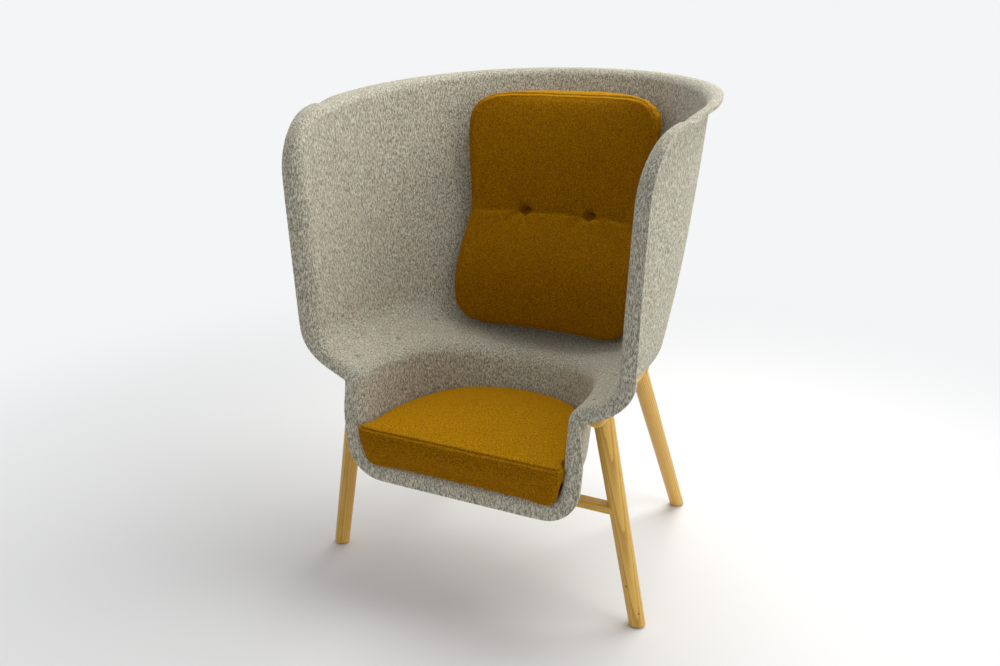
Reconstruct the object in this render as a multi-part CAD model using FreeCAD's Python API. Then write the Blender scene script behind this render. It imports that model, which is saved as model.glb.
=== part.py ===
"""Acoustic high back lounge chair: a moulded felt shell on a wooden frame.

The chair stands on the floor at z = 0 and faces -Y. All sizes are millimetres.
While it is built, x = 0 is the mirror plane and y = 0 is the line of the front feet.
At the end everything moves along Y, so that the origin is under the middle of the chair.
"""
import FreeCAD, Part
import math
import os

V = FreeCAD.Vector

# Felt shell, inside surface
FELT = 9.5                      # thickness of the moulded felt
FRONT_Y = -76.0                 # the sheet's front edge, where its roll begins
PAN_Z = 341.0
PAN_MIDDLE_Y = 90.0             # far end of the pan's middle line
BUCKET_HALF = 268.0
BUCKET_TOP = (285.0, 574.0)     # front outline, x and z where bucket side and arm ledge cross
LEDGE_END = (399.0, 626.0)      # front outline, where arm ledge and wing cross
WING_TOP = (429.0, 1190.0)      # front outline, top of the wing before its corner is rounded
BUCKET_REAR = 275.0
REAR_TOP = (334.0, 528.0)       # middle outline, y and z where rear wall and rear ledge cross
REAR_LEDGE_END = (468.0, 552.0)
BACK_TOP = (684.0, 1257.0)
FRONT_RADII = (45.0, 44.0, 80.0)    # pan to bucket, bucket to ledge, ledge to wing
REAR_RADII = (60.0, 60.0, 80.0)
WING_ROUND = 135.0              # rounding of the wing's upper front corner
WING_BULGE = 27.0               # how far the wing swells beyond its front edge
LEDGE_BULGE = 5.0
WIDEST_Y = (120.0, 200.0)       # where the wings are widest, at the ledge and at the top
SQUARENESS = (2.4, 2.15)        # exponent of the rounded plan, bucket and wings
LEDGE_SAG = 4.0                 # the ledge stays level along the arms and sinks behind
TOP_SAG = 1.0                   # the top edge rises evenly to the back

# Rolled edge of the shell
ROLL = 28.0                     # radius of the roll, on its inside surface
FLANGE_BUCKET = 24.0            # flat run of felt past the roll
FLANGE_ARM = 8.0
FLANGE_WING = 21.0
FLANGE_TOP = 8.0

# Net of the shell's surface, one half of it
STATIONS = 30                   # from the front edge round to the middle of the back
PAN_ROWS = 4
SIDE_ROWS = 4
LEDGE_ROWS = 2
CORNER_ROWS = 6
WALL_ROWS = 6
ROUND_ROWS = 8
ROLL_ROWS = 5

# Wooden frame
RAIL_D = (49.0, 47.0)
RAIL_FRONT = V(343.5, -76, 562)
RAIL_REAR = V(314.5, 330, 555)
RAIL_NOSE = 11.0
FRONT_FOOT = V(442, 3, 0)
FRONT_HEAD = V(337.5, -12, 560)
FRONT_D = (40.0, 44.0, 50.0)    # at the floor, at half height and at the rail
LEG_START = 40.0                # a leg is turned this much too long and cut level at the floor
LEG_STOP = 7.0                  # a leg ends this far short of the middle of the rail
REAR_FOOT = V(343, 645, 0)
REAR_HEAD = V(318.5, 293, 555)
REAR_D = (40.0, 42.0, 46.0)
GLIDE_T = 5.0
GLIDE_D = 28.0
GLIDE_PIN_D = 8.0
GLIDE_PIN_L = 18.0
DOWEL_D = 10.0
DOWEL_L = 44.0
DOWEL_SPREAD = 9.0              # each of a leg's two dowels lies this far off its middle
STRETCHER_TOP = 320.5           # height of its upper face, a little below the pan
STRETCHER_H = 20.0
STRETCHER_T = 36.0
STRETCHER_Y = -10.0
STRETCHER_EASE = 5.0
SPACER_D = 28.0
TENON_D = 14.0
TENON_REACH = 8.0               # how far a tenon goes past the middle of the leg

# Fasteners
ARM_SCREW_Y = (-36.0, 138.0, 314.0)
PAN_SCREW_X = (-150.0, 0.0, 150.0)
SCREW_D = 5.0
SCREW_L = 30.0                  # length below the head
SCREW_TIP = 5.0
SCREW_HEAD_D = 9.0
SCREW_HEAD_T = 2.6
WASHER_D = 14.0
WASHER_T = 1.2
PLUG_T = 3.2                    # felt plug that covers an arm screw

# Cushions
CLEAR = 2.5                     # between cushion and felt
SEAT_TOP = 434.0                # height of the seam round the top panel
SEAT_CROWN = 14.0
SEAT_CORNER = 20.0
SEAT_FLARE = 9.0                # the front corners swell over the shell's rolled edge
SEAT_RINGS = (                  # front y, front z, height at the sides and behind
    (-72.0, PAN_Z + CLEAR, PAN_Z + CLEAR), (-92.0, 340.0, 344.5), (-104.0, 333.5, 349.0),
    (-113.0, 328.0, 357.0), (-118.5, 334.0, 368.0), (-120.5, 350.0, 384.0),
    (-120.0, 408.0, 410.0), (-121.0, 427.0, 427.0), (-118.0, SEAT_TOP, SEAT_TOP))
CROWN_INSETS = (6.0, 18.0, 42.0, 80.0, 130.0)
BACK_SECTIONS = (               # z, half width, y of the front, back, side front, side back
    (574, 138, 424, 440, 418, 430), (579, 186, 406, 450, 388, 408),
    (594, 224, 396, 462, 366, 396), (617, 243, 390, 474, 358, 404),
    (650, 254, 387, 488, 350, 416), (700, 256, 388, 504, 350, 428),
    (745, 255, 396, 518, 362, 442), (790, 253, 412, 532, 382, 458),
    (835, 251, 438, 545, 408, 474), (872, 250, 466, 557, 432, 488),
    (897, 250, 486, 564, 446, 498), (922, 251, 488, 572, 452, 506),
    (970, 255, 494, 587, 456, 520), (1030, 261, 508, 605, 462, 534),
    (1090, 268, 526, 624, 470, 546), (1140, 271, 542, 639, 480, 556),
    (1172, 264, 554, 649, 490, 563), (1196, 247, 568, 656, 506, 573),
    (1211, 216, 586, 656, 532, 587), (1217, 172, 606, 650, 566, 603))
TUFT = V(97, 478, 897)          # a tuft of the back cushion; its other one is the mirror image
TUFT_MOUTH = 34.0
TUFT_DEPTH = 24.0
TUFT_STITCH = 5.0
HOOK_T = 2.0                    # hook strips that hold the cushions to the felt
HOOK_W = 40.0
HOOK_X = 70.0
HOOK_WALL_Y = 520.0             # foot of the strips on the back wall
HOOK_WALL_Z = 740.0
SEAT_HOOK_L = 190.0
BACK_HOOK_L = 330.0


class Row:
    """One line of the shell's surface, from the front edge to the middle of the back."""

    def __init__(self, front, back, plan, wall, start_y=FRONT_Y, flange=FLANGE_BUCKET):
        self.x, self.z = front
        self.back_y, self.back_z = back
        self.widest_y = lerp(lerp(FRONT_Y, WIDEST_Y[0], plan), WIDEST_Y[1], wall)
        self.power = lerp(SQUARENESS[0], SQUARENESS[1], plan)
        self.bulge = lerp(LEDGE_BULGE * plan, WING_BULGE, 1 - (1 - wall) ** 2.5)
        self.sag = lerp(LEDGE_SAG, TOP_SAG, min(1.0, wall * 1.6))
        self.start_y = start_y
        self.flange = flange

    def plan_point(self, t):
        """Plan position at fraction t: a swelling front part, then a rounded back part."""
        front_part = 0.3 * (self.widest_y - FRONT_Y) / (WIDEST_Y[1] - FRONT_Y)
        widest = self.x + self.bulge
        if t < front_part:
            s = t / front_part
            y = lerp(FRONT_Y, self.widest_y, s)
            return lerp(self.x, widest, 1 - (1 - s) ** 2), y
        a = math.pi / 2 * (t - front_part) / (1 - front_part)
        side = max(0.0, math.cos(a))
        grow = (side ** self.power + math.sin(a) ** self.power) ** (-1 / self.power)
        y = self.widest_y + (self.back_y - self.widest_y) * math.sin(a) * grow
        return widest * side * grow, y

    def start(self):
        """Fraction at which the row leaves the front edge."""
        front_part = 0.3 * (self.widest_y - FRONT_Y) / (WIDEST_Y[1] - FRONT_Y)
        if self.widest_y <= FRONT_Y:
            return 0.0
        return front_part * (self.start_y - FRONT_Y) / (self.widest_y - FRONT_Y)

    def points(self):
        first = self.start()
        pts = []
        for i in range(STATIONS + 1):
            t = lerp(first, 1.0, i / STATIONS)
            x, y = self.plan_point(min(t, 1.0))
            if i == STATIONS:
                x = 0.0
            along = max(0.0, (y - self.start_y) / (self.back_y - self.start_y))
            pts.append(V(x, y, self.z + (self.back_z - self.z) * along ** self.sag))
        return pts


def lerp(a, b, t):
    return a + (b - a) * t


def smooth(t):
    t = min(max(t, 0.0), 1.0)
    return t * t * (3 - 2 * t)


def mirrored(p):
    return V(-p.x, p.y, p.z)


def rounded_path(corners, radii, line_rows):
    """Points of a path of straight runs joined by arcs, up to the end of its last arc."""
    pts = [V(corners[0][0], corners[0][1], 0)]
    for k in range(1, len(corners) - 1):
        before, here, after = (V(c[0], c[1], 0) for c in corners[k - 1:k + 2])
        back = (before - here).normalize()
        ahead = (after - here).normalize()
        half = back.getAngle(ahead) / 2
        radius = radii[k - 1]
        begin = here + back * (radius / math.tan(half))
        centre = here + (back + ahead).normalize() * (radius / math.sin(half))
        first = begin - centre
        last = here + ahead * (radius / math.tan(half)) - centre
        turn = first.getAngle(last)
        origin = pts[-1]
        for n in range(1, line_rows[k - 1]):
            pts.append(origin + (begin - origin) * (n / line_rows[k - 1]))
        for n in range(CORNER_ROWS + 1):
            a = turn * n / CORNER_ROWS
            on_arc = first * math.sin(turn - a) + last * math.sin(a)
            pts.append(centre + on_arc * (1 / math.sin(turn)))
    return [(p.x, p.y) for p in pts]


def shell_rows():
    """All rows of the shell's right half, from the pan's middle line up to the top edge."""
    line_rows = (PAN_ROWS, SIDE_ROWS, LEDGE_ROWS)
    front = rounded_path([(0, PAN_Z), (BUCKET_HALF, PAN_Z), BUCKET_TOP, LEDGE_END, WING_TOP],
                         FRONT_RADII, line_rows)
    back = rounded_path([(PAN_MIDDLE_Y, PAN_Z), (BUCKET_REAR, PAN_Z), REAR_TOP,
                         REAR_LEDGE_END, BACK_TOP], REAR_RADII, line_rows)
    ledge_start = PAN_ROWS + CORNER_ROWS + SIDE_ROWS
    wing_start = len(front) - 1 - CORNER_ROWS
    rows = []
    for j in range(len(front)):
        plan = smooth((j - ledge_start) / (len(front) - 1 - ledge_start))
        flange = lerp(FLANGE_BUCKET, FLANGE_ARM, smooth((j - ledge_start + 2) / 2))
        if j > wing_start:
            flange = lerp(FLANGE_ARM, FLANGE_WING, smooth((j - wing_start) / CORNER_ROWS))
        rows.append(Row(front[j], back[j], plan, 0.0, flange=flange))
    foot = front[-1]
    rear_foot = back[-1]
    round_z = WING_TOP[1] - WING_ROUND
    for n in range(1, WALL_ROWS + ROUND_ROWS + 1):
        a = max(0.0, (n - WALL_ROWS) / ROUND_ROWS) * math.pi / 2
        z = round_z + WING_ROUND * math.sin(a)
        if n <= WALL_ROWS:
            z = lerp(foot[1], round_z, n / WALL_ROWS)
        rise = (z - foot[1]) / (WING_TOP[1] - foot[1])
        climb = rise
        if n > WALL_ROWS:
            low = (round_z - foot[1]) / (WING_TOP[1] - foot[1])
            climb = lerp(low, 1.0, (n - WALL_ROWS) / ROUND_ROWS)
        rear = (lerp(rear_foot[0], BACK_TOP[0], climb), lerp(rear_foot[1], BACK_TOP[1], climb))
        side = (lerp(foot[0], WING_TOP[0], rise), z)
        start_y = FRONT_Y + WING_ROUND * (1 - math.cos(a))
        flange = lerp(FLANGE_WING, FLANGE_TOP, smooth(a / (math.pi / 2)))
        rows.append(Row(side, rear, 1.0, climb, start_y, flange))
    return rows


def net_normals(net):
    """Unit vectors that point out of the shell's outer side, at every point of the net."""
    last_row = len(net) - 1
    normals = []
    for j, row in enumerate(net):
        line = []
        for i, p in enumerate(row):
            ahead = row[i + 1] if i < STATIONS else mirrored(row[i - 1])
            behind = row[i - 1] if i > 0 else p
            above = net[j + 1][i] if j < last_row else p
            below = net[j - 1][i] if j > 0 else mirrored(net[1][i])
            across = (ahead - behind).cross(above - below)
            if i == STATIONS and j == 0:
                across = V(0, 0, -1)
            line.append(across.normalize())
        normals.append(line)
    corner = normals[last_row - 1][1] + normals[last_row][2]
    normals[last_row][0] = corner.normalize()
    return normals


def roll_line(p, out, off, flange, depth):
    """Net points across the rolled edge: p on the inside surface, depth into the felt."""
    radius = ROLL - depth
    centre = p + out * ROLL
    line = [p + out * depth, p + out * depth + off * (radius * 0.12)]
    for n in range(1, ROLL_ROWS + 1):
        a = math.pi / 2 * n / ROLL_ROWS
        line.append(centre + off * (radius * math.sin(a)) - out * (radius * math.cos(a)))
    line.append(centre + off * radius + out * flange)
    return line


def net_face(net, ruled=False):
    """A smooth face drawn towards the points of a net, exact along its borders."""
    rows = len(net)
    cols = len(net[0])
    row_degree = 1 if ruled else 3
    surface = Part.BSplineSurface()
    surface.buildFromPolesMultsKnots(
        net, end_mults(rows, row_degree), end_mults(cols, 3),
        list(range(rows - row_degree + 1)), list(range(cols - 2)),
        False, False, row_degree, 3)
    return surface.toShape()


def end_mults(count, degree):
    return [degree + 1] + [1] * (count - degree - 1) + [degree + 1]


def felt_shell():
    """The whole sheet: both skins, the rolled edge and the cut edge, sewn to one solid."""
    rows = shell_rows()
    net = [row.points() for row in rows]
    normals = net_normals(net)
    top = len(net) - 1
    rim = [(j, 0) for j in range(top + 1)] + [(top, i) for i in range(1, STATIONS + 1)]
    rim_pts = [net[j][i] for j, i in rim]
    rolls = {0.0: [], FELT: []}
    for k, (j, i) in enumerate(rim):
        ahead = rim_pts[k + 1] if k < len(rim) - 1 else mirrored(rim_pts[k - 1])
        behind = rim_pts[k - 1] if k > 0 else mirrored(rim_pts[1])
        out = normals[j][i]
        off = out.cross(ahead - behind).normalize()
        for depth in rolls:
            rolls[depth].append(roll_line(rim_pts[k], out, off, rows[j].flange, depth))
    faces = []
    for depth in rolls:
        skin = [[p + n * depth for p, n in zip(line, norm)] for line, norm in zip(net, normals)]
        faces += [net_face(skin), net_face(rolls[depth][:top + 1]), net_face(rolls[depth][top:])]
    edges = [[roll[-1] for roll in rolls[depth]] for depth in rolls]
    faces.append(net_face([edge[:top + 1] for edge in edges], ruled=True))
    faces.append(net_face([edge[top:] for edge in edges], ruled=True))
    faces += [face.mirror(V(0, 0, 0), V(1, 0, 0)) for face in faces]
    shell = Part.makeShell(faces)
    shell.sewShape()
    solid = Part.Solid(shell)
    if solid.Volume < 0:
        solid.reverse()
    return solid


def frustum(a, b, d_a, d_b):
    return Part.makeCone(d_a / 2, d_b / 2, (b - a).Length, a, b - a)


def side_rail():
    """Round bar under the right arm, with rounded ends."""
    bar = frustum(RAIL_FRONT, RAIL_REAR, RAIL_D[0], RAIL_D[1])
    ends = [e for e in bar.Edges if e.Closed]
    return biggest(bar.makeFillet(RAIL_NOSE, ends))


def leg(foot, head, sizes):
    """Turned leg that thickens from the floor to the rail in two long tapers."""
    up = (head - foot).normalize()
    low = foot - up * LEG_START
    high = head - up * LEG_STOP
    middle = (low + high) * 0.5
    lower = frustum(low, middle, sizes[0], sizes[1])
    turned = lower.fuse(frustum(middle, high, sizes[1], sizes[2]))
    below = Part.makeBox(400, 400, 200, V(foot.x - 200, foot.y - 200, GLIDE_T - 200))
    return turned.cut(below)


def biggest(shape):
    return max(shape.Solids, key=lambda s: s.Volume)


def leg_dowels(foot, head):
    """Two dowels that stand in the leg's head and reach into the rail."""
    up = (head - foot).normalize()
    side = up.cross(RAIL_REAR - RAIL_FRONT).normalize()
    along = side.cross(up).normalize()
    middle = head - up * (RAIL_D[0] / 2)
    dowels = []
    for sign in (-1, 1):
        base = middle + along * (sign * DOWEL_SPREAD) - up * (DOWEL_L / 2)
        dowels.append(Part.makeCylinder(DOWEL_D / 2, DOWEL_L, base, up))
    return dowels


def glide(foot):
    """Disc under a leg, with the pin that holds it."""
    disc = Part.makeCylinder(GLIDE_D / 2, GLIDE_T, V(foot.x, foot.y, 0))
    pin = Part.makeCylinder(GLIDE_PIN_D / 2, GLIDE_PIN_L, V(foot.x, foot.y, GLIDE_T))
    return disc.fuse(pin)


def front_stretcher():
    """Flat bar between the front legs and the long round tenon that ends in both legs."""
    z = STRETCHER_TOP - STRETCHER_H / 2
    leg_x = lerp(FRONT_FOOT.x, FRONT_HEAD.x, z / FRONT_HEAD.z)
    bar = Part.makeBox(2 * leg_x, STRETCHER_T, STRETCHER_H,
                       V(-leg_x, STRETCHER_Y - STRETCHER_T / 2, z - STRETCHER_H / 2))
    long_edges = [e for e in bar.Edges if e.Length > leg_x]
    bar = biggest(bar.makeFillet(STRETCHER_EASE, long_edges))
    reach = leg_x + TENON_REACH
    tenon = Part.makeCylinder(TENON_D / 2, 2 * reach, V(-reach, STRETCHER_Y, z), V(1, 0, 0))
    return bar, tenon


def pan_spacer(x):
    """Ring between the bar and the felt pan, round a pan screw."""
    thickness = PAN_Z - FELT - STRETCHER_TOP
    ring = Part.makeCylinder(SPACER_D / 2, thickness, V(x, STRETCHER_Y, STRETCHER_TOP))
    return ring.cut(Part.makeCylinder(SCREW_D / 2, thickness, V(x, STRETCHER_Y, STRETCHER_TOP)))


def rail_point(y):
    return RAIL_FRONT + (RAIL_REAR - RAIL_FRONT) * ((y - RAIL_FRONT.y) / (RAIL_REAR.y - RAIL_FRONT.y))


def felt_top(shell, start, up):
    """Where a line that goes up from a point leaves the felt, on its inside surface."""
    inside = shell.common(Part.makeLine(start, start + up * 100))
    return max((v.Point for v in inside.Vertexes), key=lambda p: (p - start).Length)


def screw(at, down):
    """Wood screw with a low head: the head's underside is at the point, the tip points down."""
    head = Part.makeCone(SCREW_HEAD_D / 2, SCREW_HEAD_D / 3, SCREW_HEAD_T, at, down * -1)
    shank = Part.makeCylinder(SCREW_D / 2, SCREW_L - SCREW_TIP, at, down)
    tip = Part.makeCone(SCREW_D / 2, SCREW_D / 10, SCREW_TIP, at + down * (SCREW_L - SCREW_TIP), down)
    return head.fuse([shank, tip]).removeSplitter()


def washer(at, down):
    """Flat washer whose upper face, under the screw's head, is at the point."""
    disc = Part.makeCylinder(WASHER_D / 2, WASHER_T, at, down)
    return disc.cut(Part.makeCylinder(SCREW_D / 2, 3 * WASHER_T, at - down * WASHER_T, down))


def bucket_clear(z, foot, top, radius):
    """How far out a cushion may reach at a height inside the bucket's side or rear wall."""
    lean = math.atan2(top[0] - foot, top[1] - PAN_Z)
    centre = foot - radius / math.tan((math.pi / 2 + lean) / 2)
    free = radius - CLEAR
    touch = PAN_Z + radius - free * math.sin(lean)
    if z < touch:
        fall = (PAN_Z + radius - z) / free
        return centre + free * math.sqrt(max(0.0, 1 - fall * fall))
    return centre + free * math.cos(lean) + (z - touch) * math.tan(lean)


def seat_ring(front, front_z, half, z, rear, corner, square_y=FRONT_Y):
    """One line round the seat cushion: straight front, round corners and a round back."""
    flare = SEAT_FLARE * smooth((front_z - PAN_Z) / 60)
    wide = half + flare
    turn = corner * (1 - math.sqrt(0.5))
    over_roll = min(max(FRONT_Y - front - corner, 0.0), ROLL)
    corner_z = max(front_z, z - ROLL + math.sqrt(ROLL ** 2 - over_roll ** 2))
    points = [V(wide - corner, front, front_z),
              V(wide - turn, front + turn, (front_z + corner_z) / 2),
              V(wide, front + corner, corner_z)]
    points.append(V(half, max(square_y - 2, front + corner + 5), z))
    power = SQUARENESS[0]
    for degrees in (12, 24, 36, 48, 60, 74, 90):
        a = math.radians(degrees)
        grow = (math.cos(a) ** power + math.sin(a) ** power) ** (-1 / power)
        y = square_y + (rear - square_y) * math.sin(a) * grow
        points.append(V(half * math.cos(a) * grow, y, z))
    left = [mirrored(p) for p in points]
    right = [Part.Arc(points[0], points[1], points[2]).toShape(),
             Part.makeLine(points[2], points[3]),
             Part.makeLine(points[3], points[4]),
             Part.Arc(points[4], points[5], points[6]).toShape(),
             Part.Arc(points[6], points[7], points[8]).toShape()]
    back = Part.Arc(points[8], points[10], left[8]).toShape()
    left = [Part.Arc(left[8], left[7], left[6]).toShape(),
            Part.Arc(left[6], left[5], left[4]).toShape(),
            Part.makeLine(left[4], left[3]),
            Part.makeLine(left[3], left[2]),
            Part.Arc(left[2], left[1], left[0]).toShape(),
            Part.makeLine(left[0], points[0])]
    return Part.Wire(right + [back] + left)


def seat_cushion():
    """Seat cushion: soft base, sides drawn in to the bucket, a seam and a crowned top."""
    rings = []
    for front, front_z, z in SEAT_RINGS:
        half = bucket_clear(z, BUCKET_HALF, BUCKET_TOP, FRONT_RADII[0])
        rear = bucket_clear(z, BUCKET_REAR, REAR_TOP, REAR_RADII[0])
        rings.append((front, front_z, half, z, rear, SEAT_CORNER))
    front, front_z, half, z, rear, corner = rings[-1]
    for inset in CROWN_INSETS:
        rise = SEAT_CROWN * (1 - (1 - inset / CROWN_INSETS[-1]) ** 2.4)
        height = SEAT_TOP + 2 + rise
        rings.append((front + inset, height, half - inset, height, rear - inset,
                      max(10.0, corner - inset * 0.2), FRONT_Y + inset))
    return Part.makeLoft([seat_ring(*ring) for ring in rings], True, True)


def back_ring(z, half, front, back, side_front, side_back):
    """Level section of the back cushion: it wraps a little with the shell behind it."""
    right_front = V(half, side_front, z)
    right_back = V(half, side_back, z)
    swell = V(half + 0.2 * (side_back - side_front), (side_front + side_back) / 2, z)
    edges = [Part.Arc(mirrored(right_front), V(0, front, z), right_front).toShape(),
             Part.Arc(right_front, swell, right_back).toShape(),
             Part.Arc(right_back, V(0, back, z), mirrored(right_back)).toShape(),
             Part.Arc(mirrored(right_back), mirrored(swell), mirrored(right_front)).toShape()]
    return Part.Wire(edges)


def tuft_dimple(at):
    """Hollow pulled into the back cushion by a tuft, narrowing towards its stitch."""
    wide = V(TUFT_MOUTH, 0, 0)
    waist = V(TUFT_MOUTH * 0.3, 0, TUFT_DEPTH * 0.62)
    tip = V(TUFT_STITCH, 0, TUFT_DEPTH)
    outline = [Part.Arc(wide, waist, tip).toShape(), Part.makeLine(tip, V(0, 0, TUFT_DEPTH)),
               Part.makeLine(V(0, 0, TUFT_DEPTH), V(0, 0, 0)), Part.makeLine(V(0, 0, 0), wide)]
    hollow = Part.Face(Part.Wire(outline)).revolve(V(0, 0, 0), V(0, 0, 1), 360)
    hollow.Placement = FreeCAD.Placement(at, FreeCAD.Rotation(V(0, 0, 1), V(0, 1, 0)))
    return hollow


def back_cushion():
    """Back cushion: full lower half, a crease with two tufts, straighter upper half."""
    body = Part.makeLoft([back_ring(*section) for section in BACK_SECTIONS], True, True)
    return body.cut([tuft_dimple(TUFT), tuft_dimple(mirrored(TUFT))])


def seat_hook_strip(x):
    return Part.makeBox(HOOK_W, SEAT_HOOK_L, HOOK_T, V(x - HOOK_W / 2, 0, PAN_Z + 0.1))


def back_hook_strip(x, shell):
    """Strip that lies on the leaning back wall, its rear shaped by the felt."""
    lean = math.degrees(math.atan2(BACK_TOP[0] - REAR_LEDGE_END[0], BACK_TOP[1] - REAR_LEDGE_END[1]))
    strip = Part.makeBox(HOOK_W, 4 * HOOK_T, BACK_HOOK_L, V(-HOOK_W / 2, -HOOK_T, 0))
    strip.rotate(V(0, 0, 0), V(1, 0, 0), -lean)
    strip.translate(V(x, HOOK_WALL_Y, HOOK_WALL_Z))
    return biggest(strip.cut(shell))


def both_sides(shape):
    return [shape, shape.mirror(V(0, 0, 0), V(1, 0, 0))]


def both_sides_of_all(shapes):
    """The shapes of the right side and their mirror images, as one compound."""
    return Part.makeCompound([one for shape in shapes for one in both_sides(shape)])


def build():
    """All sub-parts in the building frame, by name."""
    shell = felt_shell()
    rail = biggest(side_rail().cut(shell))
    front_leg = biggest(leg(FRONT_FOOT, FRONT_HEAD, FRONT_D).cut(rail))
    rear_leg = biggest(leg(REAR_FOOT, REAR_HEAD, REAR_D).cut(rail))
    front_dowels = leg_dowels(FRONT_FOOT, FRONT_HEAD)
    rear_dowels = leg_dowels(REAR_FOOT, REAR_HEAD)
    bar, tenon = front_stretcher()
    stretcher = biggest(bar.cut(both_sides(front_leg))).fuse(tenon).removeSplitter()
    front_leg = front_leg.cut(front_dowels + [tenon, glide(FRONT_FOOT)])
    rear_leg = rear_leg.cut(rear_dowels + [glide(REAR_FOOT)])
    rail = rail.cut(front_dowels + rear_dowels)

    ledge_up = V(BUCKET_TOP[1] - LEDGE_END[1], 0, LEDGE_END[0] - BUCKET_TOP[0]).normalize()
    places = [(felt_top(shell, rail_point(y), ledge_up), ledge_up * -1) for y in ARM_SCREW_Y]
    plugs = []
    arm_screws = []
    arm_washers = []
    for top, down in places:
        plugs.append(Part.makeCylinder(WASHER_D / 2, PLUG_T, top, down))
        seat = top + down * (PLUG_T + SCREW_HEAD_T)
        arm_screws.append(screw(seat, down))
        arm_washers.append(washer(seat, down))
    down = V(0, 0, -1)
    seats = [V(x, STRETCHER_Y, PAN_Z - SCREW_HEAD_T) for x in PAN_SCREW_X]
    pan_screws = [screw(seat, down) for seat in seats]
    pan_washers = [washer(seat, down) for seat in seats]
    holes = []
    for top, direction in places:
        depth = PLUG_T + SCREW_HEAD_T + WASHER_T
        pair = [Part.makeCylinder(WASHER_D / 2, depth + 3, top - direction * 3, direction),
                Part.makeCylinder(SCREW_D / 2, SCREW_L, top, direction)]
        holes += pair + [shape.mirror(V(0, 0, 0), V(1, 0, 0)) for shape in pair]
    for seat in seats:
        holes.append(Part.makeCylinder(WASHER_D / 2, WASHER_T + 3 * SCREW_HEAD_T,
                                       seat + down * WASHER_T, down * -1))
        holes.append(Part.makeCylinder(SCREW_D / 2, SCREW_L, seat, down))
    hooks = [back_hook_strip(x, shell) for x in (-HOOK_X, HOOK_X)]
    shell = shell.cut(holes)
    rail = rail.cut(arm_screws)
    stretcher = stretcher.cut(pan_screws)

    parts = {"felt_shell": shell}
    sides = {"side_rail": rail, "front_leg": front_leg, "rear_leg": rear_leg,
             "front_glide": glide(FRONT_FOOT), "rear_glide": glide(REAR_FOOT)}
    for name, shape in sides.items():
        right, left = both_sides(shape)
        parts[name + "_right"] = right
        parts[name + "_left"] = left
    parts["front_stretcher"] = stretcher
    parts["front_leg_dowels"] = both_sides_of_all(front_dowels)
    parts["rear_leg_dowels"] = both_sides_of_all(rear_dowels)
    parts["arm_screws"] = both_sides_of_all(arm_screws)
    parts["arm_screw_washers"] = both_sides_of_all(arm_washers)
    parts["arm_screw_plugs"] = both_sides_of_all(plugs)
    parts["pan_screws"] = Part.makeCompound(pan_screws)
    parts["pan_screw_washers"] = Part.makeCompound(pan_washers)
    parts["pan_spacers"] = Part.makeCompound([pan_spacer(x) for x in PAN_SCREW_X])
    parts["seat_hook_strips"] = Part.makeCompound([seat_hook_strip(x) for x in (-HOOK_X, HOOK_X)])
    parts["back_hook_strips"] = Part.makeCompound(hooks)
    parts["seat_cushion"] = seat_cushion()
    parts["back_cushion"] = back_cushion()
    return parts


def main():
    os.makedirs("parts", exist_ok=True)
    parts = build()
    box = parts["felt_shell"].BoundBox
    middle_y = (box.YMin + box.YMax) / 2
    for name, shape in parts.items():
        shape = shape.copy()
        shape.translate(V(0, -middle_y, 0))
        shape.exportStep("parts/" + name + ".step")
        print(name, shape.isValid(), len(shape.Solids), round(shape.Volume / 1000, 1), "cm3")
    print("origin moved by", round(middle_y, 3), "mm along Y")


main()
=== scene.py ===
# %% [markdown]
# # Acoustic high back lounge chair
# One big sheet of pressed felt makes the seat bucket, the arms, the wings and the high back
# of this chair. It hangs between two round ash rails on four turned legs, and holds two loose
# wool cushions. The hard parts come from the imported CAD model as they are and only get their
# finishes here. The cushions are made again as soft covers, because a CAD solid can't show how
# cloth sits over foam.

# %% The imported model
import math

import bpy
from mathutils import Matrix, Vector, kdtree
from mathutils.bvhtree import BVHTree


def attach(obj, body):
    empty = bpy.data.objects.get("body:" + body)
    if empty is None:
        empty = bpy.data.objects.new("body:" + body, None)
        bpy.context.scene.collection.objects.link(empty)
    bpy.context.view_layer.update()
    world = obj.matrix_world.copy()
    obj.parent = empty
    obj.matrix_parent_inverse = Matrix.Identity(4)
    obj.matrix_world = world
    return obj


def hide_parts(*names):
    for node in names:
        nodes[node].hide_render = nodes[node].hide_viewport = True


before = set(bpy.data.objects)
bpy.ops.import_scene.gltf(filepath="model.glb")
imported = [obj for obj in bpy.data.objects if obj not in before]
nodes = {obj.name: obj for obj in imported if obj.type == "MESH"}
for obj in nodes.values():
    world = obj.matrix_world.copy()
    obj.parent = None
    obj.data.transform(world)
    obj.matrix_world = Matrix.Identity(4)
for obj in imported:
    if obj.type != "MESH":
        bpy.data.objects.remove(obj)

ORIGIN_SHIFT = 0.30697                  # m, from the line of the front feet to the origin
scene = bpy.context.scene
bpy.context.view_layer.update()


def new_object(name, data):
    """A new object in the scene that shows the given data."""
    obj = bpy.data.objects.new(name, data)
    scene.collection.objects.link(obj)
    return obj


# %% [markdown]
# ## Camera
# The camera stands where the photograph was taken: to the right of the chair, a little under
# standing eye height, looking down at it. Its place was worked out from the photograph's
# perspective and from the chair's own symmetry, so it is a position and three angles.

# %% Camera
CAMERA_PLACE = (1.0794, -2.2890, 1.4520)
CAMERA_TURN = math.radians(27.05)       # to the left, seen from above
CAMERA_TILT = math.radians(18.61)       # below level
CAMERA_ROLL = math.radians(-0.244)
LENS = 35.29                            # mm
SENSOR = 36.0                           # mm

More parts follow.
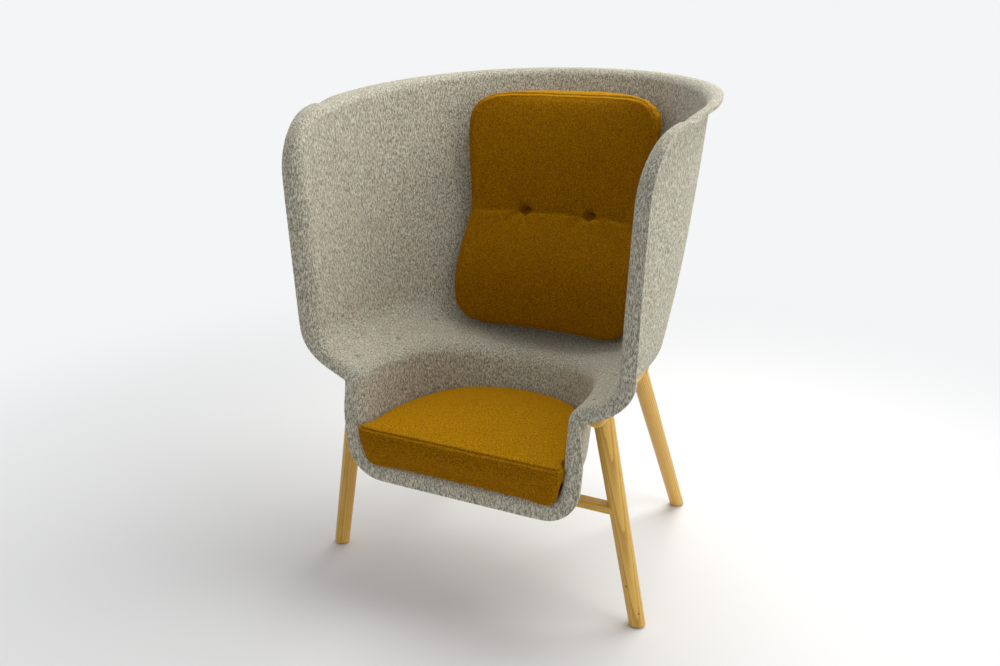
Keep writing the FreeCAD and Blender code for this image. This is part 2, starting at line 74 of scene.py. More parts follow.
camera = new_object("camera", bpy.data.cameras.new("camera"))
camera.data.sensor_width = SENSOR
camera.data.lens = LENS
camera.matrix_world = (Matrix.Translation(CAMERA_PLACE) @ Matrix.Rotation(CAMERA_TURN, 4, "Z")
                       @ Matrix.Rotation(math.pi / 2 - CAMERA_TILT, 4, "X")
                       @ Matrix.Rotation(CAMERA_ROLL, 4, "Z"))
scene.camera = camera
print("camera", LENS, "mm")

# %% [markdown]
# ## Colours and shader nodes
# Colours are written as the hex codes an eye would pick from a screen. Blender's sockets hold
# linear light, so one function turns the one into the other. Another adds a shader node: what
# it is given for a socket is linked if it is an output and set if it is a plain value. Short
# functions on top of it make the few nodes and groups of nodes that every material here uses.

# %% Two helpers for materials
def linear(hex_code):
    """The linear colour of an sRGB hex code such as #a07a20."""
    parts = [int(hex_code[i:i + 2], 16) / 255 for i in (1, 3, 5)]
    light = [c / 12.92 if c <= 0.04045 else ((c + 0.055) / 1.055) ** 2.4 for c in parts]
    return (*light, 1.0)


def add(tree, kind, settings=None, sockets=None):
    """A new shader node, with its settings made and its inputs set or linked."""
    made = tree.nodes.new("ShaderNode" + kind)
    for name, value in (settings or {}).items():
        setattr(made, name, value)
    for name, value in (sockets or {}).items():
        if isinstance(value, bpy.types.NodeSocket):
            tree.links.new(value, made.inputs[name])
        else:
            made.inputs[name].default_value = value
    return made


print("mustard in linear light:", [round(c, 3) for c in linear("#b07d08")])


# %% Nodes that come up often
def number(tree, operation, *values):
    """What one node of arithmetic gives."""
    return add(tree, "Math", {"operation": operation}, dict(enumerate(values))).outputs[0]


def vector(tree, operation, *values):
    """The vector that one node of vector arithmetic gives."""
    made = add(tree, "VectorMath", {"operation": operation}, dict(enumerate(values)))
    return made.outputs[0]


def measure(tree, operation, *vectors):
    """The number that one node of vector arithmetic gives, such as a length."""
    made = add(tree, "VectorMath", {"operation": operation}, dict(enumerate(vectors)))
    return made.outputs["Value"]


def ranged(tree, value, low, high, bottom=0.0, top=1.0):
    """Bottom where the value is under low, top where it is over high, even in between."""
    return add(tree, "MapRange", sockets={"Value": value, "From Min": low, "From Max": high,
                                          "To Min": bottom, "To Max": top}).outputs[0]


def noise(tree, place, scale, detail, roughness=0.5, output="Fac"):
    """Soft noise round 0.5, with about as many lumps to the metre as its scale."""
    return add(tree, "TexNoise", sockets={"Vector": place, "Scale": scale, "Detail": detail,
                                          "Roughness": roughness}).outputs[output]


def mix(tree, amount, first, second, blend="MIX"):
    """A colour between two others, or another blend of the two."""
    return add(tree, "Mix", {"data_type": "RGBA", "blend_type": blend},
               {0: amount, 6: first, 7: second}).outputs[2]


print("helpers: number, vector, measure, ranged, noise, mix")


# %% Start and end of a material
def blank_material(name):
    """A new material and its empty tree of nodes."""
    material = bpy.data.materials.new(name)
    material.use_nodes = True
    material.node_tree.nodes.clear()
    return material, material.node_tree


def surface(tree, colour, height, depth, strength, sockets, sunk=False):
    """Ends a material: its colour, a fine relief (raised or sunk) and the rest of its skin."""
    bump = add(tree, "Bump", {"invert": sunk},
               {"Height": height, "Distance": depth, "Strength": strength})
    skin = add(tree, "BsdfPrincipled",
               sockets={"Base Color": colour, "Normal": bump.outputs[0], **sockets})
    add(tree, "OutputMaterial", sockets={"Surface": skin.outputs[0]})


print("helpers: blank_material, surface")

# %% [markdown]
# ## Studio
# Soft light falls on the chair from above and behind, and a little from the right. A plain
# studio gives the same: a wide pale floor that fades to white away from the chair, a large
# lamp overhead, a softer one on the right, and a dim world. The fade is seen by the camera
# only, so the floor throws back no more light than a real one.

# %% World
WORLD_LIGHT = 0.42                      # what the world sends to the object; 1 would be white
SKY = "#f6f8ff"                         # colour of that light
BACKDROP = "#f4f5f6"                    # what is seen behind the chair


def seen_directly(tree):
    """1 for rays from the camera, from gloss and through glass, otherwise 0."""
    path = add(tree, "LightPath").outputs
    either = number(tree, "MAXIMUM", path["Is Camera Ray"], path["Is Glossy Ray"])
    return number(tree, "MAXIMUM", either, path["Is Transmission Ray"])


world = bpy.data.worlds.new("pale_studio")
world.use_nodes = True
tree = world.node_tree
tree.nodes.clear()
light = add(tree, "Background", sockets={"Color": linear(SKY), "Strength": WORLD_LIGHT})
white = add(tree, "Background", sockets={"Color": linear(BACKDROP), "Strength": 1.0})
both = add(tree, "MixShader",
           sockets={0: seen_directly(tree), 1: light.outputs[0], 2: white.outputs[0]})
add(tree, "OutputWorld", sockets={"Surface": both.outputs[0]})
scene.world = world
scene.view_settings.view_transform = "Standard"
print("world light", WORLD_LIGHT)

# %% Floor
FLOOR_HALF = 14.0                       # m
FADE_START = 0.7                        # m from the origin, where the floor begins to turn white
FADE_END = 2.8                          # m, where it is the backdrop's white

floor_mesh = bpy.data.meshes.new("floor")
corners = [(x * FLOOR_HALF, y * FLOOR_HALF, 0) for x, y in ((-1, -1), (1, -1), (1, 1), (-1, 1))]
floor_mesh.from_pydata(corners, [], [(0, 1, 2, 3)])
floor = new_object("floor", floor_mesh)

pale, tree = blank_material("pale_floor")
away = measure(tree, "LENGTH", add(tree, "TexCoord").outputs["Object"])
fade = add(tree, "MapRange", {"interpolation_type": "SMOOTHSTEP"},
           {"Value": away, "From Min": FADE_START, "From Max": FADE_END}).outputs[0]
fade = number(tree, "MULTIPLY", fade, seen_directly(tree))
near = add(tree, "BsdfPrincipled", sockets={"Base Color": linear("#efeeeb"), "Roughness": 0.7})
far = add(tree, "Emission", sockets={"Color": linear(BACKDROP), "Strength": 1.0})
both = add(tree, "MixShader", sockets={0: fade, 1: near.outputs[0], 2: far.outputs[0]})
add(tree, "OutputMaterial", sockets={"Surface": both.outputs[0]})
floor_mesh.materials.append(pale)
print("floor", 2 * FLOOR_HALF, "m wide")

# %% Lamps
LAMPS = (                               # name, place, target, size in m, watts
    ("ceiling_lamp", (0.5, 1.3, 3.3), (0.0, 0.0, 0.5), 2.6, 98.0),
    ("right_lamp", (3.5, -0.2, 1.9), (0.2, 0.0, 0.7), 2.2, 42.0),
)
for name, place, target, size, watts in LAMPS:
    lamp = new_object(name, bpy.data.lights.new(name, "AREA"))
    lamp.data.size = size
    lamp.data.energy = watts
    aim = (Vector(target) - Vector(place)).to_track_quat("-Z", "Y")
    lamp.matrix_world = Matrix.Translation(place) @ aim.to_matrix().to_4x4()
    print(name, watts, "W")

# %% [markdown]
# ## Pressed felt
# The shell is a needled mat of wool and polyester fibres, pressed hot into its shape. Fibres of
# several natural greys, browns and whites are mixed and not dyed, so up close it is a salt and
# pepper of short strokes that hang down the walls, and from afar a warm grey. Real fibres are
# finer than a tenth of a millimetre and clump into strokes about 3 mm wide: the strokes are
# what the photograph shows, so noise of that width, stretched upright, draws them.

# %% Felt material
FELT_STROKE = 0.0031                    # m, width of a clump of fibres
FELT_SQUEEZE = 0.36                     # the noise is squeezed this much along its height
FELT_FLECKS = (                         # colour, size beside the grey ones, low, high, shift
    ("#635743", 0.7, 0.8, 0.57, 0.66, 3.1),     # brown fibres
    ("#f7f4e8", 0.6, 0.7, 0.58, 0.68, 7.7))     # white fibres
CLOUD_WIDTH = 0.07                      # m, patches where the mix is warmer or cooler
NAP_WIDTH = 0.0016                      # m, the finest fuzz
STROKE_RISE = 1.4                       # height of a light stroke next to the fuzz


def strokes(tree, place, width, squeeze, low, high, shift):
    """A mask of upright strokes: 0 where the noise is under low, 1 where it is over high."""
    moved = vector(tree, "MULTIPLY_ADD", place, (1.0, 1.0, squeeze), (shift, shift, shift))
    return ranged(tree, noise(tree, moved, 1 / width, 4.0, 0.7), low, high)


def pressed_felt(name, light, dark):
    """Warm grey melange felt with a soft nap. It is matt, and glows a little at grazing angles."""
    material, tree = blank_material(name)
    place = add(tree, "TexCoord").outputs["Object"]
    grey = strokes(tree, place, FELT_STROKE, FELT_SQUEEZE, 0.42, 0.58, 0.0)
    colour = mix(tree, grey, linear(dark), linear(light))
    for tone, wide, tall, low, high, shift in FELT_FLECKS:
        fleck = strokes(tree, place, FELT_STROKE * wide, FELT_SQUEEZE * tall, low, high, shift)
        colour = mix(tree, fleck, colour, linear(tone))
    cloud = strokes(tree, place, CLOUD_WIDTH, 1.0, 0.35, 0.65, 1.3)
    tint = mix(tree, cloud, linear("#fffaf1"), linear("#fafbf6"))
    colour = mix(tree, 1.0, colour, tint, "MULTIPLY")
    nap = strokes(tree, place, NAP_WIDTH, 0.5, 0.2, 0.8, 5.0)
    height = number(tree, "MULTIPLY_ADD", grey, STROKE_RISE, nap)
    surface(tree, colour, height, 0.0006, 0.8, {
        "Roughness": 0.95, "Specular IOR Level": 0.2, "Sheen Weight": 0.25,
        "Sheen Roughness": 0.5, "Sheen Tint": linear("#efece2")})
    return material


def finish(node, material):
    """Gives a CAD node its finish, on every material slot it has."""
    mesh = nodes[node].data
    if not mesh.materials:
        mesh.materials.append(None)
    for slot in range(len(mesh.materials)):
        mesh.materials[slot] = material


finish("felt_shell", pressed_felt("pressed_felt", "#e6e3d4", "#8f8a76"))
finish("arm_screw_plugs", pressed_felt("felt_of_plugs", "#b3af9f", "#6d6858"))
print("felt strokes", FELT_STROKE * 1000, "mm wide")

# %% [markdown]
# ## Lacquered ash
# Legs, rails and stretcher are turned or planed from ash and sprayed with clear satin lacquer.
# Ash has wide growth rings with a dark, porous line each, which show as long flames because
# the wood is cut along the trunk. The rings are circles round a pith that lies outside the
# piece and leans a little, so the material is worked out in each piece's own direction.

# %% Ash material
RING_WIDTH = 0.0042                     # m, one year of growth
RING_WAVER = 2.2                        # how much the rings stray from true circles
RING_SQUEEZE = 0.12                     # they waver this much less along the trunk
WAVE_PERIOD = 0.314                     # m, length of Blender's wave at scale 1
PORE_WIDTH = 0.0007                     # m, a real pore: they are drawn twice as wide to show
PORE_SQUEEZE = 0.03                     # pores are long and thin along the trunk
PITH_ASIDE = (0.05, 0.03)               # m, from the piece's own line to the pith
PITH_LEAN = math.radians(1.6)
KNOT_RADIUS = 0.0042                    # m, of the two pin knots low on one front leg
KNOTS = ((0.4166, -0.3272, 0.1147), (0.4486, -0.3193, 0.0422))
BROAD_PER_METRE = 22.0                  # wide patches where the wood is a little darker
EARLY_WOOD, LATE_WOOD = "#e2b54f", "#c08d33"    # light and dark half of a ring
PORE_BROWN, KNOT_BROWN, BROAD_TONE = "#96692a", "#7d5220", "#cf9f4a"


def lacquered_ash(name, start, end, shift, knots=()):
    """Ash along the line from start to end. The lacquer adds a clear satin gloss on top."""
    material, tree = blank_material(name)
    along = (end - start).to_track_quat("Z", "Y").to_euler()
    along.x += PITH_LEAN
    skin = add(tree, "TexCoord").outputs["Object"]
    place = add(tree, "Mapping", {"vector_type": "TEXTURE"},
                {"Vector": skin, "Location": start, "Rotation": along}).outputs[0]
    place = vector(tree, "ADD", place, (PITH_ASIDE[0] + shift, PITH_ASIDE[1], shift))
    drawn = vector(tree, "MULTIPLY", place, (1.0, 1.0, RING_SQUEEZE))
    rings = add(tree, "TexWave",
                {"wave_type": "RINGS", "rings_direction": "Z", "wave_profile": "SAW"},
                {"Vector": drawn, "Scale": WAVE_PERIOD / RING_WIDTH, "Distortion": RING_WAVER,
                 "Detail": 2.0, "Detail Scale": 1.2}).outputs["Fac"]
    late = ranged(tree, rings, 0.35, 1.0)
    colour = mix(tree, late, linear(EARLY_WOOD), linear(LATE_WOOD))
    long_pores = vector(tree, "MULTIPLY", place, (1.0, 1.0, PORE_SQUEEZE))
    pores = ranged(tree, noise(tree, long_pores, 1 / (2 * PORE_WIDTH), 2.0), 0.52, 0.75)
    pores = number(tree, "MULTIPLY", pores, late)
    colour = mix(tree, pores, colour, linear(PORE_BROWN))
    broad = ranged(tree, noise(tree, drawn, BROAD_PER_METRE, 1.0), 0.4, 0.8, top=0.45)
    colour = mix(tree, broad, colour, linear(BROAD_TONE))
    for knot in knots:
        away = measure(tree, "DISTANCE", skin, knot)
        spot = ranged(tree, away, KNOT_RADIUS / 2, KNOT_RADIUS, bottom=0.8, top=0.0)
        colour = mix(tree, spot, colour, linear(KNOT_BROWN))
    surface(tree, colour, pores, 0.0002, 0.6, {
        "Roughness": 0.48, "IOR": 1.5, "Coat Weight": 0.18, "Coat Roughness": 0.25}, sunk=True)
    return material


print("growth rings", RING_WIDTH * 1000, "mm")

# %% Pieces of ash
# Each piece is cut from another place in the trunk, so that no two show the same grain. The
# last number of a row is its part of that shift, in m: one for the kind and one for the side.
ASH_PIECES = (                          # name, then both ends of the right one, in m
    ("front_leg", (0.442, 0.003, 0.0), (0.3375, -0.012, 0.56), 0.027),
    ("rear_leg", (0.343, 0.645, 0.0), (0.3185, 0.293, 0.555), 0.024),
    ("side_rail", (0.3435, -0.076, 0.562), (0.3145, 0.330, 0.555), 0.027))
SIDES = (("_right", 1, 0.011), ("_left", -1, 0.034))
STRETCHER = (Vector((-0.4, -0.317, 0.31)), Vector((0.4, -0.317, 0.31)))

for name, start, end, kind_shift in ASH_PIECES:
    for side, sign, side_shift in SIDES:
        ends = [Vector((sign * x, y - ORIGIN_SHIFT, z)) for x, y, z in (start, end)]
        knots = KNOTS if name + side == "front_leg_right" else ()
        finish(name + side,
               lacquered_ash("ash_" + name + side, *ends, side_shift + kind_shift, knots))
finish("front_stretcher", lacquered_ash("ash_stretcher", *STRETCHER, 0.02))
print(2 * len(ASH_PIECES) + 1, "pieces of ash")

# %% [markdown]
# ## Small hard parts
# The glides are dark nylon discs, moulded with a fine spark-eroded grain, and the spacers under
# the pan are nylon too. Screws and washers are zinc plated steel, the dowels are plain beech
# with no lacquer, and the hook tape is black woven nylon. Most of them are hidden inside the
# chair, and they still get their real finish.

# %% Materials of the small parts
def simple(name, first, second, grain, sockets, depth=0.0001):
    """A finish whose colour wanders between two close ones, with a fine grain of some depth."""
    material, tree = blank_material(name)
    grains = noise(tree, add(tree, "TexCoord").outputs["Object"], 1 / grain, 3.0)
    colour = mix(tree, grains, linear(first), linear(second))
    surface(tree, colour, grains, depth, 0.5, sockets)
    return material


nylon = simple("moulded_nylon", "#2a2826", "#3a3734", 0.0012, {"Roughness": 0.5, "IOR": 1.53})
zinc = simple("zinc_plated_steel", "#b9bcc0", "#d2d4d6", 0.002,
              {"Roughness": 0.32, "Metallic": 1.0})
beech = simple("plain_beech", "#cfa77c", "#b98e63", 0.0015, {"Roughness": 0.75})
tape = simple("woven_hook_tape", "#191919", "#2b2b2b", 0.0008, {"Roughness": 0.85}, 0.0004)
for node in nodes:
    if "glide" in node or node == "pan_spacers":
        finish(node, nylon)
    elif "dowels" in node:
        finish(node, beech)
    elif "hook_strips" in node:
        finish(node, tape)
    elif node in ("arm_screws", "arm_screw_washers", "pan_screws", "pan_screw_washers"):
        finish(node, zinc)
print("small parts finished")

# %% [markdown]
# ## Wool cloth
# The covers are a plain weave of mustard wool. The yarns are melange too, a little lighter and
# darker from thread to thread, which gives the cloth a fine speckle. A real yarn here is about
# 1 mm wide, under the size of a pixel, so the weave is drawn with 2.5 mm yarns. Three weaves are
# worked out, one for each way a face can look, and the surface's own direction picks between
# them, so that no unwrapping is needed. Faces that look up, such as the level top of the seat,
# get painted light: their colour is made lighter, as if lit from above.

# %% Wool material
YARN = 0.0025                           # m, drawn coarser than the real 1 mm so that it shows
YARN_WANDER = 0.0014                    # m, how far a yarn strays from its straight line
WANDERS_PER_METRE = 60.0
FLECKS_PER_METRE = 330.0
TOP_LIGHT_PAINTED = 0.42                         # painted light: how much lighter faces that look up are coloured
SHADOW = 0.5                            # how dark it gets between the yarns


def mustard_wool(name):
    """Fine woven mustard wool: matt, a little fuzzy, with a soft sheen at grazing angles."""
    material, tree = blank_material(name)
    coords = add(tree, "TexCoord").outputs
    place, facing = coords["Object"], coords["Normal"]
    wander = noise(tree, place, WANDERS_PER_METRE, 1.0, output="Color")
    bent = vector(tree, "MULTIPLY_ADD", wander, (YARN_WANDER, YARN_WANDER, YARN_WANDER), place)
    waves = [add(tree, "TexWave", {"bands_direction": axis, "wave_profile": "SIN"},
                 {"Vector": bent, "Scale": WAVE_PERIOD / (2 * YARN)}).outputs["Fac"]
             for axis in "XYZ"]
    pairs = [number(tree, "ABSOLUTE", number(tree, "SUBTRACT", waves[a], waves[b]))
             for a, b in ((1, 2), (0, 2), (0, 1))]
    woven = add(tree, "CombineXYZ", sockets=dict(enumerate(pairs))).outputs[0]
    weave = measure(tree, "DOT_PRODUCT", woven, vector(tree, "MULTIPLY", facing, facing))
    fleck = ranged(tree, noise(tree, place, FLECKS_PER_METRE, 2.0, 0.7), 0.36, 0.64)
    colour = mix(tree, fleck, linear("#6a4300"), linear("#bd8104"))
    # Painted light: faces that look up are mixed towards a lighter mustard, as if lit from above.
    upward = add(tree, "SeparateXYZ", sockets={0: facing}).outputs["Z"]
    painted_top_light = mix(tree, fleck, linear("#b87a02"), linear("#ffc41c"))
    colour = mix(tree, ranged(tree, upward, 0.55, 0.95, top=TOP_LIGHT_PAINTED), colour, painted_top_light)
    shade = ranged(tree, weave, 0.0, 1.0, top=SHADOW)
    colour = mix(tree, shade, colour, linear("#5e3d01"))
    height = number(tree, "MULTIPLY_ADD", weave, -1.0, fleck)
    surface(tree, colour, height, 0.0004, 0.7, {
        "Roughness": 0.92, "Specular IOR Level": 0.06, "Sheen Weight": 0.45,
        "Sheen Roughness": 0.4, "Sheen Tint": linear("#f0a500")})
    return material


wool = mustard_wool("mustard_wool")
thread = simple("mustard_thread", "#8d6104", "#a87a10", 0.001, {"Roughness": 0.8}, 0.0002)
print("yarn drawn", YARN * 1000, "mm wide")

# %% [markdown]
# ## Cushions: where the covers are sewn
# Each cushion is a foam block in a sewn cover. The seat's seam runs round its top panel, the
# back cushion's round its front panel. The seat's line is an edge of its CAD solid and is read
# from there. The back's runs a little inside the solid's outline and is written as a row of
# places. A seam is kept as evenly spaced points, which later hold the cloth in place while it
# is blown up and carry the stitches.

# %% Seam lines
SEAT_SEAM_Z = 0.434                     # m, height of the seam round the seat's top panel
LEVEL_WITHIN = 0.0004                   # m, a point this near to that height lies on the seam
SAME_WITHIN = 0.0001                    # m, two points this near are one
BACK_SEAM = (                           # m, right half of the seam, from the bottom up
    (0.0, 0.401, 0.585), (0.110, 0.394, 0.585), (0.190, 0.382, 0.586), (0.226, 0.366, 0.597),
    (0.244, 0.358, 0.620), (0.253, 0.351, 0.655), (0.254, 0.351, 0.700), (0.253, 0.363, 0.745),
    (0.251, 0.383, 0.790), (0.249, 0.409, 0.835), (0.248, 0.433, 0.872), (0.248, 0.447, 0.897),
    (0.249, 0.453, 0.922), (0.253, 0.457, 0.970), (0.259, 0.463, 1.030), (0.266, 0.471, 1.090),
    (0.269, 0.481, 1.140), (0.262, 0.491, 1.172), (0.247, 0.507, 1.195), (0.217, 0.531, 1.209),
    (0.172, 0.558, 1.212), (0.090, 0.581, 1.213), (0.0, 0.587, 1.213))
SEAM_STEP = 0.0021                      # m between the points of a seam line
ROUNDING_PASSES = 12


def even_loop(points, step):
    """The same closed line with evenly spaced points, rounded a little."""
    count = len(points)
    lengths = [(points[(i + 1) % count] - points[i]).length for i in range(count)]
    total = sum(lengths)
    wanted = int(total / step)
    loop = []
    i = 0
    passed = 0.0
    for k in range(wanted):
        target = total * k / wanted
        while passed + lengths[i] < target:
            passed += lengths[i]
            i += 1
        share = (target - passed) / lengths[i]
        loop.append(points[i].lerp(points[(i + 1) % count], share))
    for _ in range(ROUNDING_PASSES):
        loop = [(loop[k - 1] + loop[k] * 2 + loop[(k + 1) % wanted]) / 4 for k in range(wanted)]
    return loop


def seat_seam_points():
    """Points of the CAD solid's edge round the top panel, in order."""
    mesh = nodes["seat_cushion"].data
    level = [v.co.copy() for v in mesh.vertices if abs(v.co.z - SEAT_SEAM_Z) < LEVEL_WITHIN]
    found = [p for k, p in enumerate(level)
             if all((p - q).length > SAME_WITHIN for q in level[:k])]
    middle = sum(found, Vector()) / len(found)
    found.sort(key=lambda p: math.atan2(p.y - middle.y, p.x))
    return found


def back_seam_points():
    """The front panel's border, from its right half and its mirror image."""
    right = [Vector((x, y - ORIGIN_SHIFT, z)) for x, y, z in BACK_SEAM]
    left = [Vector((-p.x, p.y, p.z)) for p in reversed(right[1:-1])]
    return right + left


seat_seam = even_loop(seat_seam_points(), SEAM_STEP)
back_seam = even_loop(back_seam_points(), SEAM_STEP)
for name, seam in (("seat", seat_seam), ("back cushion", back_seam)):
    print(name, "seam:", round(len(seam) * SEAM_STEP, 2), "m")

# %% [markdown]
# ## Cushions: blowing up the covers
# Foam presses its cover outwards from all over, while the seams hold it in. Blender's cloth can
# do just that: the CAD solid is remeshed into small even faces, drawn in a little, pinned along
# its seams and blown up from inside for 20 frames. No point may move further than a cap, because
# foam stops swelling where air would not. Last, every point that comes too near the felt is
# put back, since the felt does not give way.

# %% Tools for meshes
VOXEL = 0.0066                          # m, size of the faces the cloth is worked out on
DRAWN_IN = 0.0015                       # m, how much smaller the cover starts


def settle(obj):
    """Works an object's modifiers into its mesh and takes them off."""
    graph = bpy.context.evaluated_depsgraph_get()
    mesh = bpy.data.meshes.new_from_object(obj.evaluated_get(graph))
    obj.modifiers.clear()
    obj.data = mesh


def skin_of(mesh):
    """A search tree that finds the nearest place on a mesh."""
    return BVHTree.FromPolygons([v.co for v in mesh.vertices],
                                [p.vertices for p in mesh.polygons])


def nearest_tree(points):
    """A search tree that finds the nearest of some points."""
    tree = kdtree.KDTree(len(points))
    for i, p in enumerate(points):
        tree.insert(p, i)
    tree.balance()
    return tree


def with_normals(mesh):
    """Pairs of each point and its normal, taken before any point is moved."""
    return list(zip(mesh.vertices, [v.normal.copy() for v in mesh.vertices]))


def remeshed(name, node):
    """A new object with the CAD solid's form in small even faces, drawn in a little."""
    obj = new_object(name, nodes[node].data.copy())
    obj.data.materials.clear()
    grid = obj.modifiers.new("even_faces", "REMESH")
    grid.mode = "VOXEL"
    grid.voxel_size = VOXEL
    settle(obj)
    for v, normal in with_normals(obj.data):
        v.co -= normal * DRAWN_IN
    return obj


print("cloth faces", VOXEL * 1000, "mm wide")

# %% Cloth
PIN_REACH = 0.007                       # m, a seam holds the cloth this far to each side
PRESSURE = 4.0                          # inside the cover, in Blender's own unit
STIFFNESS = 18                          # against stretching and squeezing
BENDING = 1.2                           # stiffness against bending
CLOTH_QUALITY = 3                       # steps for each frame
CLOTH_FRAMES = 20


def blown_up(obj, pins, cap):
    """Cloth with pressure inside, held at its seams, and no point moved more than the cap."""
    start = [v.co.copy() for v in obj.data.vertices]
    group = obj.vertex_groups.new(name="seams")
    held = nearest_tree(pins)
    for i, co in enumerate(start):
        distance = held.find(co)[2]
        if distance < 2 * PIN_REACH:
            group.add([i], min(1.0, 2 - distance / PIN_REACH), "REPLACE")
    cloth = obj.modifiers.new("cover", "CLOTH").settings
    cloth.use_pressure = True
    cloth.uniform_pressure_force = PRESSURE
    cloth.effector_weights.gravity = 0
    cloth.vertex_group_mass = "seams"
    cloth.quality = CLOTH_QUALITY
    cloth.tension_stiffness = cloth.compression_stiffness = STIFFNESS
    cloth.bending_stiffness = BENDING
    for step in range(1, CLOTH_FRAMES + 1):
        scene.frame_set(step)
    settle(obj)
    furthest = 0.0
    for v, before in zip(obj.data.vertices, start):
        moved = v.co - before
        furthest = max(furthest, moved.length)
        if moved.length > 0:
            v.co = before + moved.normalized() * cap * math.tanh(moved.length / cap)
    scene.frame_set(1)
    return furthest


print("pressure", PRESSURE, "for", CLOTH_FRAMES, "frames")

# %% The felt round the cushions
FELT_GAP = 0.0012                       # m, the least space between a cover and the felt
FELT_SEARCH = 0.03                      # m, felt further away than this is out of reach
EDGE_Y = -0.076 - ORIGIN_SHIFT          # m, front edge of the felt, where its roll begins
EDGE_BLEND = 0.03                       # m, from that edge to where the corners are widest
SEAT_SIDE = 0.09                        # m, height of the seat's side
CORNER_FILL = 0.022                     # share of its width that the seat gains in front of it
LOW_FILL = 0.028                        # and how much more it gains at the bottom

felt_skin = skin_of(nodes["felt_shell"].data)


def fill_corners(obj):
    """Lets the seat's front corners press out over the shell's edge, where nothing holds them."""
    for v in obj.data.vertices:
        past = min(max((EDGE_Y - v.co.y) / EDGE_BLEND, 0.0), 1.0)
        below = min(max((SEAT_SEAM_Z - v.co.z) / SEAT_SIDE, 0.0), 1.0)
        v.co.x *= 1 + (CORNER_FILL + LOW_FILL * below) * past * past * (3 - 2 * past)


def clear_of_felt(obj):
    """Puts back every point that is in the felt or too near it."""
    put_back = 0
    for v in obj.data.vertices:
        place, normal, _, _ = felt_skin.find_nearest(v.co, FELT_SEARCH)
        if place is not None and (v.co - place).dot(normal) < FELT_GAP:
            v.co = place + normal * FELT_GAP
            put_back += 1
    return put_back


print("covers stay", FELT_GAP * 1000, "mm clear of the felt")

# %% Blowing up both covers
TUFT_PLACES = ((0.097, 0.478 - ORIGIN_SHIFT, 0.897), (-0.097, 0.478 - ORIGIN_SHIFT, 0.897))
TUFT_PIN = Vector((0, 0.022, 0))        # m, from a tuft's place back to the pin that holds it
tuft_pins = [Vector(place) + TUFT_PIN for place in TUFT_PLACES]
covers = {}
for name, node, pins, cap in (("seat_cover", "seat_cushion", seat_seam, 0.010),
                              ("back_cover", "back_cushion", back_seam + tuft_pins, 0.009)):
    cover = remeshed(name, node)
    furthest = 0.0
    furthest = blown_up(cover, pins, cap)
    if name == "seat_cover":
        fill_corners(cover)
    put_back = clear_of_felt(cover)
    smooth = cover.modifiers.new("fine", "SUBSURF")
    smooth.levels = smooth.render_levels = 1
    settle(cover)
    covers[name] = cover
    print(name, len(cover.data.vertices), "points, pushed up to", round(furthest * 1000, 1),
          "mm before the cap,", put_back, "put back from the felt")

# %% [markdown]
# ## Cushions: seams, tufts and creases
# Once the form is soft, the sewing goes on. A seam is a narrow valley with a low ridge on each
# side, where the folded edges of the cloth lie under it. A tuft is a stitch pulled through the
# whole cushion: a deep dimple with folds that run out from it like rays, the longest to the
# sides, along the crease that splits the back cushion in two.

# %% Sewn seams
SEAM_DEPTH = 0.0024                     # m
SEAM_WIDTH = 0.0034                     # m, from the middle of the valley to its side
SEAM_REACH = 0.02                       # m, cloth further away than this stays as it is
RIDGE_ASIDE = 0.0085                    # m, from the seam to the ridge beside it
RIDGE_WIDTH = 0.0038                    # m
RIDGE_SHARE = 0.35                      # height of the ridge next to the depth of the seam


def laid_on(obj, seam):
    """The seam's points moved to the nearest points of the cover."""
    skin = skin_of(obj.data)
    return [skin.find_nearest(p)[0] for p in seam]


def sew(obj, seam):
    """Presses the seam's valley into the cover and raises the low ridges beside it."""
    line = nearest_tree(seam)
    for v, normal in with_normals(obj.data):
        distance = line.find(v.co)[2]
        if distance < SEAM_REACH:
            valley = math.exp(-(distance / SEAM_WIDTH) ** 2) * SEAM_DEPTH
            ridge = (math.exp(-((distance - RIDGE_ASIDE) / RIDGE_WIDTH) ** 2)
                     * SEAM_DEPTH * RIDGE_SHARE)
            v.co += normal * (ridge - valley)


seat_seam = laid_on(covers["seat_cover"], seat_seam)
back_seam = laid_on(covers["back_cover"], back_seam)
sew(covers["seat_cover"], seat_seam)
sew(covers["back_cover"], back_seam)
print("seams pressed in", SEAM_DEPTH * 1000, "mm")

# %% Tufts
TUFT_REACH = 0.09                       # m, cloth further away than this stays as it is
FRONT_FACING = -0.3                     # a normal's y has to be under this on the front panel
PIT_DEPTH = 0.008                       # m, how much deeper the stitch pulls its dimple
PIT_WIDTH = 0.012                       # m
RAYS = 5
RAY_TURN = 0.7                          # radians, turns the set of rays
RAY_PEAK = 0.020                        # m, from the stitch to where its rays are highest
RAY_FADE = 0.021                        # m
RAY_HEIGHT = 0.0020                     # m
CREASE_DEPTH = 0.007                    # m, of the fold that runs to both sides of a tuft
CREASE_WIDTH = 0.007                    # m
CREASE_FADE = 0.024                     # m along the fold, until it is a third as deep


def pull_tuft(obj, place):
    """Dimple and rays of folds round one tuft, on the front of the back cushion."""
    for v, normal in with_normals(obj.data):
        across = v.co.x - place[0]
        up = v.co.z - place[2]
        if normal.y > FRONT_FACING or abs(across) > TUFT_REACH or abs(up) > TUFT_REACH:
            continue
        reach = math.hypot(across, up)
        angle = math.atan2(up, across)
        rays = (math.cos(RAYS * angle + RAY_TURN)
                * math.exp(-((reach - RAY_PEAK) / RAY_FADE) ** 2) * RAY_HEIGHT)
        pit = math.exp(-(reach / PIT_WIDTH) ** 2) * PIT_DEPTH
        crease = math.exp(-(up / CREASE_WIDTH) ** 2 - abs(across) / CREASE_FADE) * CREASE_DEPTH
        v.co.y += rays + pit + crease


for place in TUFT_PLACES:
    pull_tuft(covers["back_cover"], place)
print(len(TUFT_PLACES), "tufts pulled in")


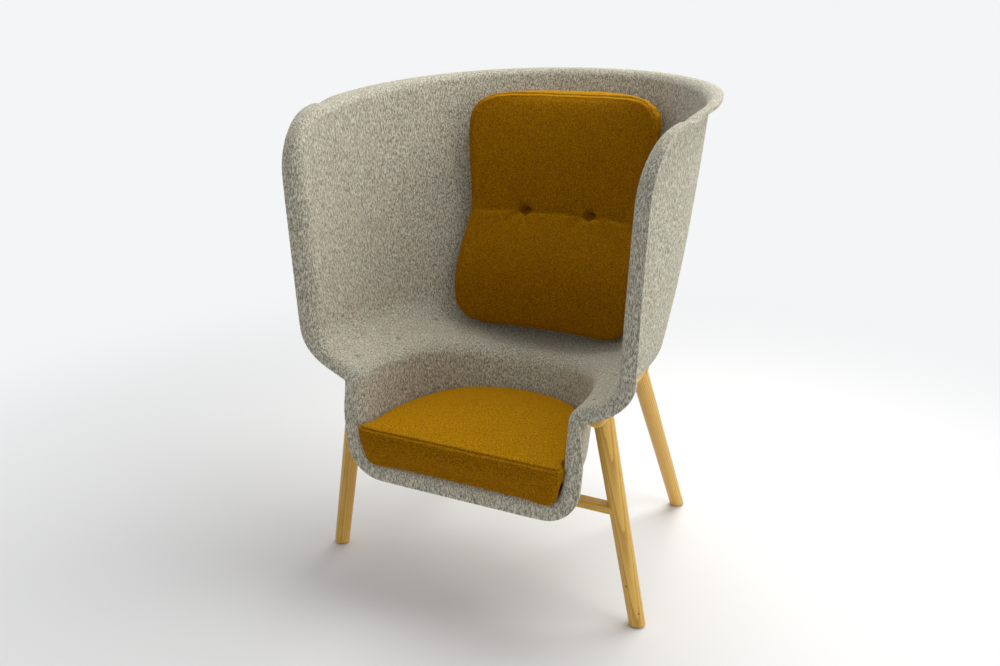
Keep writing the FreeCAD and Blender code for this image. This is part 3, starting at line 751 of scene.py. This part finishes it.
# %% Covers take the place of the CAD solids
def dressed(mesh, material):
    """Smooth shading and one material for a mesh made here."""
    for polygon in mesh.polygons:
        polygon.use_smooth = True
    mesh.materials.clear()
    mesh.materials.append(material)


for name, node, fill in (("seat_cover", "seat_cushion", 0.9),
                         ("back_cover", "back_cushion", 0.75)):
    cover = covers[name]
    cover.vertex_groups.clear()
    dressed(cover.data, wool)
    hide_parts(node)
    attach(cover, "root")
    print(name, "replaces", node)

# %% [markdown]
# ## Stitches
# A row of stitches runs beside each seam and holds the folded edges down. Each stitch is a
# short spindle of thread that dips into the cloth at both ends. They are laid on the finished
# cover, at the nearest point of its surface, so that they follow every swell of it.

# %% Stitches along the seams
SEAM_POINTS_PER_STITCH = 3              # 6.3 mm from one stitch to the next
STITCH_ASIDE = 0.0055                   # m, from the seam to its row of stitches
STITCH_LENGTH = 0.0042                  # m
THREAD = 0.0005                         # m, radius of the thread
STITCH_DIP = 1.6                        # thread radii that the ends of a stitch sink in
STITCH_SIT = 0.5                        # thread radii that its middle is lifted
ROUND = 6                               # points round the thread
SPINDLE = (                             # place along a stitch and thickness there
    (-1.0, 0.25), (-0.6, 0.9), (0.0, 1.1), (0.6, 0.9), (1.0, 0.25))


def spindle(verts, faces, middle, along, up):
    """Adds one stitch to lists of points and faces."""
    side = along.cross(up).normalized()
    first = len(verts)
    last = first + (len(SPINDLE) - 1) * ROUND
    for t, thick in SPINDLE:
        ring = middle + along * (t * STITCH_LENGTH / 2) - up * (t ** 2 * THREAD * STITCH_DIP)
        for k in range(ROUND):
            a = 2 * math.pi * k / ROUND
            verts.append(ring + (side * math.cos(a) + up * math.sin(a)) * (thick * THREAD))
    for ring_start in range(first, last, ROUND):
        for k in range(ROUND):
            a, b = ring_start + k, ring_start + (k + 1) % ROUND
            faces.append((a, b, b + ROUND, a + ROUND))
    faces.append(tuple(first + k for k in reversed(range(ROUND))))
    faces.append(tuple(last + k for k in range(ROUND)))


def stitched(name, cover, seam, aside):
    """A row of stitches on a cover, beside its seam."""
    skin = skin_of(cover.data)
    verts, faces = [], []
    every = SEAM_POINTS_PER_STITCH
    for k in range(0, len(seam) - every + 1, every):
        along = (seam[(k + 1) % len(seam)] - seam[k - 1]).normalized()
        place, normal, _, _ = skin.find_nearest(seam[k] + aside)
        along = (along - normal * along.dot(normal)).normalized()
        spindle(verts, faces, place + normal * THREAD * STITCH_SIT, along, normal)
    mesh = bpy.data.meshes.new(name)
    mesh.from_pydata(verts, [], faces)
    dressed(mesh, thread)
    obj = new_object(name, mesh)
    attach(obj, "root")
    print(name, len(verts) // (ROUND * len(SPINDLE)), "stitches")


stitched("seat_stitches", covers["seat_cover"], seat_seam, Vector((0, 0, -STITCH_ASIDE)))
stitched("back_stitches", covers["back_cover"], back_seam, Vector((0, STITCH_ASIDE, 0)))
